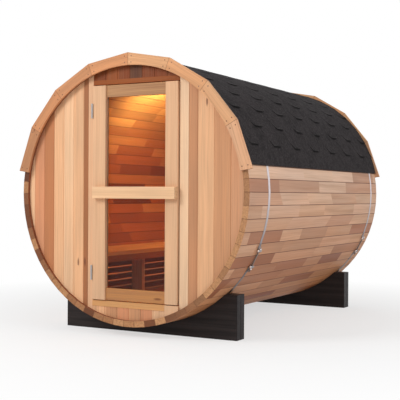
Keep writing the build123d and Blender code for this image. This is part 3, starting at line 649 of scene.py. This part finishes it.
def felt_finish(roof):
    """Mineral grit on bitumen, with painted shade on the toes of the tabs and painted shadow under them."""
    finish = Finish("shingle_felt", 0.9)
    finish.surface.inputs["Specular IOR Level"].default_value = 0.1
    x, y, z = finish.place()
    vector = finish.vector(x, y, z)
    grit = finish.cloud(vector, scale=900.0, detail=2.0)
    patch = finish.cloud(vector, scale=7.0, detail=3.0)
    speck = finish.cloud(vector, scale=95.0, detail=3.0)
    blotch = finish.cloud(vector, scale=26.0, detail=3.0)
    shade = finish.mix(finish.span(grit, 0.35, 0.7, 0.25, 0.75), tint(29, 26, 27), roof.felt)
    shade = finish.mix(finish.span(speck, 0.42, 0.62, 0.0, 0.75), shade, tint(66, 61, 62))
    shade = finish.mix(finish.span(blotch, 0.46, 0.66, 0.0, 0.6), shade, tint(24, 22, 23))
    shade = finish.mix(finish.span(patch, 0.35, 0.7, 0.0, 0.35), shade, tint(62, 57, 58))
    # Painted shade, partly the dark bitumen of the cut edge: the toe of a tab, which looks down along the
    # roof, is darkened
    up = z - AXIS_Z
    facing = finish.facing()
    down = (facing[2] * x - facing[0] * up) / finish.reach(x, up)
    shade = finish.mix(finish.along(down, 0.8), shade, tint(16, 14, 14))
    # Painted shadow under the toe of each tab, on the row below
    turn = (finish.angle(up, abs(x)) - roof.edge_angle) / row_angle(roof)
    row = finish.math("ROUND", turn)
    below = row - turn
    along = (y - (FRONT_Y + roof.first_toe)) / roof.pitch + ((row + 1.0) % 2.0) * 0.5
    from_toe = abs(finish.math("FRACT", along + 0.5) - 0.5) * roof.pitch
    near_toe = finish.span(from_toe, roof.toe / 2 - 0.014, roof.toe / 2 + 0.003, 1.0, 0.0)
    toe_shadow = finish.span(below, 0.03, 0.09, 1.0, 0.0) * near_toe * (below > -0.01)
    has_tabs = (row > 0.5) * (row < roof.courses - 1.5)
    finish.colour(finish.mix(toe_shadow * has_tabs * 0.9, shade, tint(13, 11, 11)))
    finish.rough(finish.span(grit, 0.3, 0.7, 0.8, 0.95))
    finish.bump(grit + patch * 2.0, 0.0012, 0.8)
    return finish


def steel_finish(name, shade, roughness, painted_dark_below=0.0):
    """Brushed steel, darker towards the ground by the share given: a painted dark reflection of what lies
    below.
    """
    finish = Finish(name, roughness)
    finish.surface.inputs["Metallic"].default_value = 1.0
    x, y, z = finish.place()
    brushed = finish.cloud(finish.vector(x * 30, y * 900, z * 30), detail=2.0)
    spot = finish.cloud(finish.vector(x, y, z), scale=60.0)
    shade = finish.mix(finish.span(spot, 0.4, 0.75, 0.0, 0.3), shade, tint(150, 142, 140))
    # Painted reflection: the steel darkens towards the ground, standing for the dark surroundings it
    # reflects there
    finish.colour(finish.mix(finish.span(z, 0.5, 1.0, painted_dark_below, 0.0), shade, tint(84, 78, 76)))
    finish.rough(finish.span(brushed, 0.3, 0.7, roughness - 0.06, roughness + 0.10))
    finish.bump(brushed, 0.0002, 0.4)
    return finish


def glass_finish():
    """A clear pane with a faint smoke."""
    finish = Finish("door_glass", 0.03)
    finish.surface.inputs["IOR"].default_value = 1.5
    finish.surface.inputs["Alpha"].default_value = 0.16
    smear = finish.cloud(finish.vector(*finish.place()), scale=4.0)
    finish.colour(finish.mix(smear, tint(44, 38, 34), tint(58, 50, 44)))
    finish.rough(finish.span(smear, 0.3, 0.7, 0.02, 0.06))
    return finish


def new_object(name, data):
    """A mesh, a light or a camera in the scene."""
    item = bpy.data.objects.new(name, data)
    bpy.context.scene.collection.objects.link(item)
    return item


def new_piece(name, shapes, body, finish, replaced=()):
    """A mesh piece that rides on a body, wears a finish and may stand for nodes of the frame."""
    mesh = bpy.data.meshes.new(name)
    mesh.from_pydata(shapes.points, [], shapes.faces)
    mesh.validate()
    work = bmesh.new()
    work.from_mesh(mesh)
    bmesh.ops.recalc_face_normals(work, faces=work.faces)
    work.to_mesh(mesh)
    work.free()
    mesh.update()
    piece = new_object(name, mesh)
    mesh.materials.append(finish.material)
    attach(piece, body)
    if replaced:
        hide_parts(*replaced)


class Shapes:
    """Points and faces of a joined mesh."""

    def __init__(self):
        self.points = []
        self.faces = []

    def sheet(self, outer, inner):
        """A closed sheet between two equal grids of points."""
        rows, columns = len(outer), len(outer[0])
        base = len(self.points)
        for grid in (outer, inner):
            for row in grid:
                self.points += row

        def at(side, row, column):
            return base + (side * rows + row) * columns + column

        for row in range(rows - 1):
            for column in range(columns - 1):
                square = ((row, column), (row, column + 1), (row + 1, column + 1), (row + 1, column))
                self.faces.append([at(0, *corner) for corner in reversed(square)])
                self.faces.append([at(1, *corner) for corner in square])
        rim = [(0, column) for column in range(columns)]
        rim += [(row, columns - 1) for row in range(1, rows)]
        rim += [(rows - 1, column) for column in range(columns - 2, -1, -1)]
        rim += [(row, 0) for row in range(rows - 2, 0, -1)]
        for here, there in zip(rim, rim[1:] + rim[:1]):
            self.faces.append([at(0, *here), at(0, *there), at(1, *there), at(1, *here)])

    def ribbon(self, path, low, high, thickness):
        """A strip along a path of the cross section, between two places along Y."""
        outer, inner = [], []
        ends = [Vector((0, y, 0)) for y in (low, high)]
        for number, point in enumerate(path):
            before = path[max(number - 1, 0)]
            after = path[min(number + 1, len(path) - 1)]
            run = (after - before).normalized()
            side = Vector((-run.z, 0, run.x)) * thickness / 2
            outer.append([point + side + end for end in ends])
            inner.append([point - side + end for end in ends])
        self.sheet(outer, inner)

    def lathe(self, outline, sides, origin, axis):
        """A turned solid: outline is (radius, height) pairs from end to end along the axis."""
        turn = Vector((0, 0, 1)).rotation_difference(Vector(axis)).to_matrix()
        base = len(self.points)
        for radius, height in outline:
            for number in range(sides):
                angle = 2 * pi * number / sides
                local = Vector((radius * cos(angle), radius * sin(angle), height))
                self.points.append(Vector(origin) + turn @ local)
        rings = [range(start, start + sides) for start in range(base, len(self.points), sides)]
        for low, high in zip(rings, rings[1:]):
            for here in range(sides):
                there = (here + 1) % sides
                self.faces.append([low[here], low[there], high[there], high[here]])
        self.faces += [list(reversed(rings[0])), list(rings[-1])]


def round_barrel(radius, angle, y):
    """A point at a radius and angle round the barrel's axis."""
    return Vector((radius * cos(angle), y, AXIS_Z + radius * sin(angle)))


class SAUNA_OT_dress_staves(bpy.types.Operator):
    """Finish the barrel's staves"""

    bl_idname = "sauna.dress_staves"
    bl_label = "Dress Staves"

    def execute(self, context):
        wear(stave_finish(), *STAVES)
        return {"FINISHED"}


class SAUNA_OT_dress_walls(bpy.types.Operator):
    """Finish the boards of both end walls"""

    bl_idname = "sauna.dress_walls"
    bl_label = "Dress Walls"

    def execute(self, context):
        wood = context.scene.sauna_cedar
        cream, pale, pink, tan, brown = wood.cream, wood.pale, wood.pink, wood.tan, wood.brown
        umber, shaded = wood.umber, wood.shaded
        # Where the boards' edges stand, from left to right
        last = HINGE_JAMB[0].x
        left = [last - LEFT_FILLER - number * WALL_BOARD for number in range(LEFT_BOARDS, -1, -1)] + [last]
        first = LATCH_JAMB[1].x + JAMB_GAP
        right = [first] + [first + RIGHT_FILLER + number * RIGHT_BOARD for number in range(RIGHT_BOARDS + 1)]
        low, high = HINGE_JAMB[1].x, LATCH_JAMB[0].x
        middle = [low + number * (high - low) / DOOR_BOARDS for number in range(DOOR_BOARDS + 1)]
        # Painted shade: the boards over the door take tones darkened for the arch's shadow
        over = [shaded, wood.shaded_red, shaded, wood.black, shaded, shaded, shaded, brown]
        for node, edges, contrast, knotty, shades in (
            ("front_wall_left", left, 0.22, 0.04, [cream, pink, brown, pale, cream, pale, umber, umber]),
            ("front_wall_right", right, 0.26, 0.10, [wood.hazel, pale, tan, wood.rosy, tan]),
            ("front_wall_over_door", middle, 0.30, 0.0, over),
            ("front_wall_under_door", middle, 0.35, 0.0, [pale, tan, pink, tan, pink, cream, cream, cream]),
        ):
            wear(board_finish(node, "Z", shades, edges=edges, contrast=contrast, knotty=knotty), node)
        shades = [cream, pale, pink, pale, tan, brown]
        back = board_finish(
            "back_wall", "Z", shades, width=WALL_BOARD, origin=-WALL_BOARD / 2, seed=3.0, knotty=0.08
        )
        wear(back, "back_wall")
        return {"FINISHED"}


class SAUNA_OT_dress_trim(bpy.types.Operator):
    """Finish the board arches"""

    bl_idname = "sauna.dress_trim"
    bl_label = "Dress Arches"

    def execute(self, context):
        wear(trim_finish(), "front_trim_left", "front_trim_right", "rear_trim_left", "rear_trim_right")
        return {"FINISHED"}


class SAUNA_OT_dress_door(bpy.types.Operator):
    """Finish the doorway and the door"""

    bl_idname = "sauna.dress_door"
    bl_label = "Dress Door"

    def execute(self, context):
        wood = context.scene.sauna_door
        upright = {
            "hinge_stile": wood.stile,
            "latch_stile": wood.stile,
            "latch_foot": wood.stile,
            "hinge_jamb": wood.hinge_jamb,
            "latch_jamb": wood.latch_jamb,
        }
        for number, (node, shade) in enumerate(upright.items()):
            wear(board_finish(node, "Z", [shade], seed=number * 2.7, contrast=0.16), node)
        # The head's tone carries painted shade
        level = {
            "door_top_rail": wood.top_rail,
            "door_bottom_rail": wood.bottom_rail,
            "pull_bar": wood.pull_bar,
            "door_head": wood.head,
            "door_sill": wood.sill,
        }
        for number, (node, shade) in enumerate(level.items()):
            contrast, knotty = (0.55, 0.25) if node.endswith("rail") else (0.20, 0.0)
            seed = 20 + number * 3.1
            wear(board_finish(node, "X", [shade], seed=seed, contrast=contrast, knotty=knotty), node)
        wear(glass_finish(), "door_glass")
        steel = steel_finish("hinge_steel", context.scene.sauna_metal.hinge, 0.36)
        wear(steel, "hinge_frame_leaves", "hinge_door_leaves")
        return {"FINISHED"}


class SAUNA_OT_dress_bench(bpy.types.Operator):
    """Finish the bench"""

    bl_idname = "sauna.dress_bench"
    bl_label = "Dress Bench"

    def execute(self, context):
        wood = context.scene.sauna_bench
        # These tones carry painted warm light, and painted shade on the skirt
        shades = [wood.pale_slat, wood.tan_slat]
        slats = board_finish("bench_slats", "Y", shades, width=BENCH_SLAT, origin=BENCH_FRONT_X, seed=8.0)
        wear(slats, "bench_seat")
        for node, direction, shade, seed in (
            ("bench_rail", "Y", wood.rail, 31.0),
            ("bench_skirt", "Y", wood.skirt, 37.0),
            ("bench_supports", "Z", wood.support, 41.0),
        ):
            wear(board_finish(node, direction, [shade], seed=seed), node)
        return {"FINISHED"}


class SAUNA_OT_dress_cradles(bpy.types.Operator):
    """Finish the cradles"""

    bl_idname = "sauna.dress_cradles"
    bl_label = "Dress Cradles"

    def execute(self, context):
        wear(stain_finish(context.scene.sauna_cradle), "front_cradle", "rear_cradle")
        return {"FINISHED"}


def tab(roof, side, row, low, middle):
    """One tab from toe to head: rows of an angle, a height, and places along Y with their lift."""
    # Tabs near the ridge lie flat
    growth = CURL_GROWTH * max(0.0, CURL_TOP - row / roof.courses)
    most = roof.lift * min(1.0, CURL_LEAST + growth)
    ends = [noise.noise(Vector((middle * 3, row * 1.7, side + end))) for end in (0, 5)]
    front_curl, rear_curl = [most * (0.8 + 0.45 * end) for end in ends]
    rows = []
    for share in TAB_SHARES:
        half = roof.toe / 2 + (roof.pitch - roof.toe) / 2 * share
        places = []
        for column in range(TAB_COLUMNS + 1):
            back = column / TAB_COLUMNS
            y = middle + half * (2 * back - 1)
            curl = front_curl * (1 - back) + rear_curl * back
            places.append((min(max(y, ROOF_FRONT), ROOF_REAR), curl * (1 - share) ** 7))
        rows.append((low + row_angle(roof) * TAB_END * share, TAB_HEIGHT, places))
    return rows


def roof_side(roof, side):
    """The starter strip and the rows of shingles on one side: 1 is the right, -1 the left."""
    shapes = Shapes()
    angle = row_angle(roof)
    columns = range(ROOF_COLUMNS + 1)
    level = [(ROOF_FRONT + ROOF_LENGTH * number / ROOF_COLUMNS, 0.0) for number in columns]

    def line(up, height, places):
        around = up if side > 0 else pi - up
        return [round_barrel(ROOF_SEAT + height + lift, around, y) for y, lift in places]

    def lay(rows):
        """A sheet from rows of an angle, a height, and places along Y with their lift."""
        outer = [line(up, height, places) for up, height, places in rows]
        inner = [line(up, height - roof.sheet, places) for up, height, places in rows]
        shapes.sheet(outer, inner)

    for strip in (STARTER_STRIP, PLAIN_ROW):
        lay([(roof.edge_angle + angle * share, height, level) for share, height in strip])
    for row in range(1, roof.courses):
        low = roof.edge_angle + row * angle
        # The head of the row, which shows between the tabs of the next one
        run = min(low + HEAD_END * angle, pi / 2 - RIDGE_GAP) - low - angle
        if run > (TAB_END - 1) * angle:
            lay([(low + angle + run * share, HEAD_HEIGHT, level) for share in HEAD_SHARES])
        shift = 0.0 if row % 2 else roof.pitch / 2
        for number in range(-2, ceil(ROOF_LENGTH / roof.pitch) + 1):
            rows = tab(roof, side, row, low, ROOF_FRONT + roof.first_toe + shift + number * roof.pitch)
            head = rows[-1][2]
            if head[-1][0] - head[0][0] > LEAST_TAB:
                lay(rows)
    return shapes


def ridge_caps(roof):
    """Caps that lap one over the next towards the front."""
    shapes = Shapes()
    count = floor(ROOF_LENGTH / CAP_EXPOSURE)
    exposure = ROOF_LENGTH / count
    angles = [pi / 2 + radians(degree) for degree in CAP_DEGREES]
    for number in range(count):
        start = ROOF_FRONT + number * exposure
        end = min(start + exposure * CAP_LENGTH, ROOF_REAR)
        outer, inner = [], []
        for share in (0.0, 0.5, 1.0):
            y = start + (end - start) * share
            radius = ROOF_SEAT + CAP_HEIGHT - CAP_FALL * share
            outer.append([round_barrel(radius, angle, y) for angle in angles])
            inner.append([round_barrel(radius - roof.cap_sheet, angle, y) for angle in angles])
        shapes.sheet(outer, inner)
    return shapes


class SAUNA_OT_lay_shingles(bpy.types.Operator):
    """Lay the tab shingles and the ridge caps"""

    bl_idname = "sauna.lay_shingles"
    bl_label = "Lay Shingles"

    def execute(self, context):
        roof = context.scene.sauna_roof
        finish = felt_finish(roof)
        for side, label in ((1, "right"), (-1, "left")):
            shapes = roof_side(roof, side)
            new_piece("shingles_" + label, shapes, "barrel", finish, ("roof_shingles_" + label,))
        new_piece("ridge_caps", ridge_caps(roof), "barrel", finish)
        return {"FINISHED"}


def hoop_band(hoop, middle):
    """The band with folded ends, and the middles of the cross barrels in them."""
    shapes = Shapes()
    half = hoop.width / 2
    height = BAND_GAP + hoop.thickness / 2
    ends = (hoop.upper_end, hoop.lower_end + 2 * pi)
    seams = [FIRST_SEAM + number * STAVE_ANGLE for number in BAND_SEAMS]
    path = []
    for angle in [ends[0]] + [angle for angle in seams if ends[0] < angle < ends[1]] + [ends[1]]:
        past = (angle - FIRST_SEAM) % STAVE_ANGLE - STAVE_ANGLE / 2
        taut = (BARREL_RADIUS + height) * cos(STAVE_ANGLE / 2) / cos(past)
        path.append(round_barrel(taut, angle, 0))
    shapes.ribbon(path, middle - half, middle + half, hoop.thickness)
    loop = hoop.cross_barrel + height
    centres = []
    for point, angle, away in ((path[0], ends[0], 1), (path[-1], ends[1], -1)):
        out = Vector((cos(angle), 0, sin(angle)))
        along = Vector((-sin(angle), 0, cos(angle))) * away
        centre = point + out * (loop + hoop.thickness)
        centres.append(centre)
        fold = []
        for step in range(FOLD_STEPS + 1):
            turn = pi * (step / FOLD_STEPS - 0.5)
            fold.append(centre + out * (loop * sin(turn)) - along * (loop * cos(turn)))
        for share, run in FOLD_TAIL:
            fold.append(centre + out * loop * share + along * run)
        for low, high in ((-half, -FOLD_SLOT / 2), (FOLD_SLOT / 2, half)):
            shapes.ribbon(fold, middle + low, middle + high, hoop.thickness)
    return shapes, centres


def tensioner(hoop, centres, middle):
    """The threaded screw, and the cross barrels with a nut beyond each."""
    rod, knobs = Shapes(), Shapes()
    across = Vector((0, middle, 0))
    radius, end = hoop.cross_barrel, hoop.cross_barrel - CROSS_BARREL_CHAMFER
    flat = CROSS_BARREL_HALF - CROSS_BARREL_CHAMFER
    outline = ((end, -CROSS_BARREL_HALF), (radius, -flat), (radius, flat), (end, CROSS_BARREL_HALF))
    for centre in centres:
        knobs.lathe(outline, 20, centre + across, (0, 1, 0))
    run = (centres[1] - centres[0]).normalized()
    span = (centres[1] - centres[0]).length
    start = centres[0] - run * SCREW_ABOVE + across
    length = span + SCREW_ABOVE + SCREW_BELOW
    outline = [(SCREW_POINT, 0.0)]
    for number in range(int(length / THREAD_STEP)):
        outline.append((hoop.screw if number % 2 else hoop.screw - THREAD_DEPTH, number * THREAD_STEP))
    outline.append((SCREW_POINT, length))
    rod.lathe(outline, 12, start, run)
    outer = radius + BAND_GAP + hoop.thickness
    for place in (SCREW_ABOVE - outer - NUT_HEIGHT, SCREW_ABOVE + span + outer):
        knobs.lathe(NUT, 6, start + run * place, run)
    return rod, knobs


class SAUNA_OT_fit_hoops(bpy.types.Operator):
    """Fit the steel hoops with their folded ends, cross barrels, screws and nuts"""

    bl_idname = "sauna.fit_hoops"
    bl_label = "Fit Hoops"

    def execute(self, context):
        hoop = context.scene.sauna_hoop
        metal = context.scene.sauna_metal
        # The hoops take painted dark reflection towards the ground
        steel = steel_finish("hoop_steel", metal.hoop, 0.34, painted_dark_below=0.9)
        zinc = steel_finish("tensioner_zinc", metal.zinc, 0.24)
        dull = steel_finish("screw_steel", metal.rod, 0.38)
        for node, label in (("front_hoop", "front"), ("rear_hoop", "rear")):
            middle = (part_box(node)[0].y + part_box(node)[1].y) / 2
            band, centres = hoop_band(hoop, middle)
            rod, knobs = tensioner(hoop, centres, middle)
            new_piece("band_" + label, band, "barrel", steel, (node,))
            new_piece("screw_" + label, rod, "barrel", dull)
            new_piece("cross_barrels_" + label, knobs, "barrel", zinc)
        return {"FINISHED"}


class SAUNA_OT_drive_screws(bpy.types.Operator):
    """Drive the screws of the board arches"""

    bl_idname = "sauna.drive_screws"
    bl_label = "Drive Screws"

    def execute(self, context):
        finish = steel_finish("screw_bronze", context.scene.sauna_metal.screw, 0.4)
        front, rear = FRONT_Y - ARCH_THICKNESS, REAR_Y + ARCH_THICKNESS
        for label, face_y, outward in (("front", front, -1), ("rear", rear, 1)):
            shapes = Shapes()
            for board in range(ARCH_BOARDS):
                for end, inset in ((0, ARCH_SCREW_INSET), (1, -ARCH_SCREW_INSET)):
                    angle = ARCH_START + (board + end) * ARCH_BOARD_ANGLE + inset
                    for radius in ARCH_SCREW_RADII:
                        place = round_barrel(radius, angle, face_y)
                        shapes.lathe(SCREW_HEAD, 14, place, (0, outward, 0))
            new_piece("arch_screws_" + label, shapes, "barrel", finish)
        return {"FINISHED"}


def lamp(name, place, target, size, power, shade=(1, 1, 1), length=None):
    """A soft lamp that looks at a target, square unless its length is given."""
    light = bpy.data.lights.new(name, "AREA")
    light.shape = "RECTANGLE"
    light.size = size
    light.size_y = length or size
    light.energy = power
    light.color = shade
    holder = new_object(name, light)
    holder.location = place
    holder.rotation_euler = (Vector(target) - Vector(place)).to_track_quat("-Z", "Y").to_euler()
    holder.visible_camera = False


def backdrop_rays(nodes):
    """One for the rays that show the backdrop: the camera's, and those off metal or through glass."""
    path = nodes.add("ShaderNodeLightPath")
    names = ("Is Camera Ray", "Is Glossy Ray", "Is Transmission Ray")
    camera, glossy, through = [Value(nodes, path.outputs[name]) for name in names]
    return nodes.math("MAXIMUM", nodes.math("MAXIMUM", camera, glossy), through)


def floor_finish():
    """Pale floor that fades to plain white away from the sauna where the camera sees it."""
    finish = Finish("stage_floor", 0.95)
    x, y, z = finish.place()
    mottled = finish.span(finish.cloud(finish.vector(x, y, z), scale=3.0), 0.3, 0.7)
    finish.colour(finish.mix(mottled, *FLOOR_GREYS))
    fade = finish.span(finish.reach(x, y), 1.3, 3.4, 0.6, 1.0) * backdrop_rays(finish)
    surface = Value(finish, finish.surface.outputs[0])
    glow = Value(finish, finish.add("ShaderNodeEmission").outputs[0])
    blend = finish.fill(finish.add("ShaderNodeMixShader"), fade, surface, glow)
    finish.join(blend, finish.tree.nodes["Material Output"].inputs["Surface"])
    return finish


class SAUNA_OT_set_stage(bpy.types.Operator):
    """Set the floor, the lights and the camera"""

    bl_idname = "sauna.set_stage"
    bl_label = "Set Stage"

    def execute(self, context):
        scene = context.scene
        stage = scene.sauna_stage
        scene.view_settings.view_transform = "Standard"

        side = 40.0
        corners = [(-side, -side, 0), (side, -side, 0), (side, side, 0), (-side, side, 0)]
        mesh = bpy.data.meshes.new("stage_floor")
        mesh.from_pydata(corners, [], [(0, 1, 2, 3)])
        mesh.materials.append(floor_finish().material)
        ground = new_object("stage_floor", mesh)

        world = bpy.data.worlds.new("studio")
        scene.world = world
        world.use_nodes = True
        sky = Nodes(world.node_tree)
        strength = sky.span(backdrop_rays(sky), 0.0, 1.0, stage.sky, 1.0)
        sky.fill(sky.tree.nodes["Background"], WHITE, strength)

        middle = (0, 0, AXIS_Z)
        lamp("key", (-2.6, -6.0, 4.6), middle, size=2.6, power=stage.key)
        lamp("fill", (6.5, -1.5, 3.2), middle, size=4.0, power=stage.fill)
        # Turned from the doorway, so that no light comes through the gap round the leaf
        glow, towards = (-0.20, -0.40, 1.48), (-0.50, 0.10, 2.08)
        lamp("cabin_glow", glow, towards, size=0.14, power=stage.cabin, shade=(1.0, 0.81, 0.48))
        fill, towards = (0.12, -0.28, 1.52), (-0.74, 0.45, 0.64)
        lamp("cabin_fill", fill, towards, size=0.5, power=stage.cabin_fill, shade=(1.0, 0.66, 0.34))
        bench, towards = (-0.62, 0.1, 0.42), (-0.62, 0.1, 0.0)
        lamp("bench_glow", bench, towards, size=0.3, power=stage.bench, shade=(1.0, 0.56, 0.24), length=1.9)

        data = bpy.data.cameras.new("camera")
        data.lens = stage.lens
        camera = new_object("camera", data)
        turn = Matrix.Rotation(stage.heading, 4, "Z")
        tilt = Matrix.Rotation(pi / 2 - stage.tilt, 4, "X")
        roll = Matrix.Rotation(stage.roll, 4, "Z")
        camera.matrix_world = Matrix.Translation(stage.camera) @ turn @ tilt @ roll
        scene.camera = camera
        return {"FINISHED"}


STEPS = (
    SAUNA_OT_dress_staves,
    SAUNA_OT_dress_walls,
    SAUNA_OT_dress_trim,
    SAUNA_OT_dress_door,
    SAUNA_OT_dress_bench,
    SAUNA_OT_dress_cradles,
    SAUNA_OT_lay_shingles,
    SAUNA_OT_fit_hoops,
    SAUNA_OT_drive_screws,
    SAUNA_OT_set_stage,
)


class SAUNA_PT_panel(bpy.types.Panel):
    """The sauna's steps in the sidebar"""

    bl_idname = "SAUNA_PT_panel"
    bl_label = "Barrel Sauna"
    bl_space_type = "VIEW_3D"
    bl_region_type = "UI"
    bl_category = "Barrel Sauna"

    def draw(self, context):
        for step in STEPS:
            self.layout.operator(step.bl_idname)


GROUPS = {
    "sauna_cedar": CedarColours,
    "sauna_door": DoorColours,
    "sauna_bench": BenchColours,
    "sauna_roof": RoofSizes,
    "sauna_hoop": HoopSizes,
    "sauna_metal": MetalColours,
    "sauna_cradle": CradleColours,
    "sauna_stage": StageSettings,
}


def register():
    for name, group in GROUPS.items():
        bpy.utils.register_class(group)
        setattr(bpy.types.Scene, name, PointerProperty(type=group))
    for step in STEPS:
        bpy.utils.register_class(step)
    bpy.utils.register_class(SAUNA_PT_panel)


def unregister():
    bpy.utils.unregister_class(SAUNA_PT_panel)
    for step in reversed(STEPS):
        bpy.utils.unregister_class(step)
    for name, group in GROUPS.items():
        delattr(bpy.types.Scene, name)
        bpy.utils.unregister_class(group)


def main():
    register()
    bpy.ops.sauna.dress_staves()
    bpy.ops.sauna.dress_walls()
    bpy.ops.sauna.dress_trim()
    bpy.ops.sauna.dress_door()
    bpy.ops.sauna.dress_bench()
    bpy.ops.sauna.dress_cradles()
    bpy.ops.sauna.lay_shingles()
    bpy.ops.sauna.fit_hoops()
    bpy.ops.sauna.drive_screws()
    bpy.ops.sauna.set_stage()


if __name__ == "__main__":
    main()
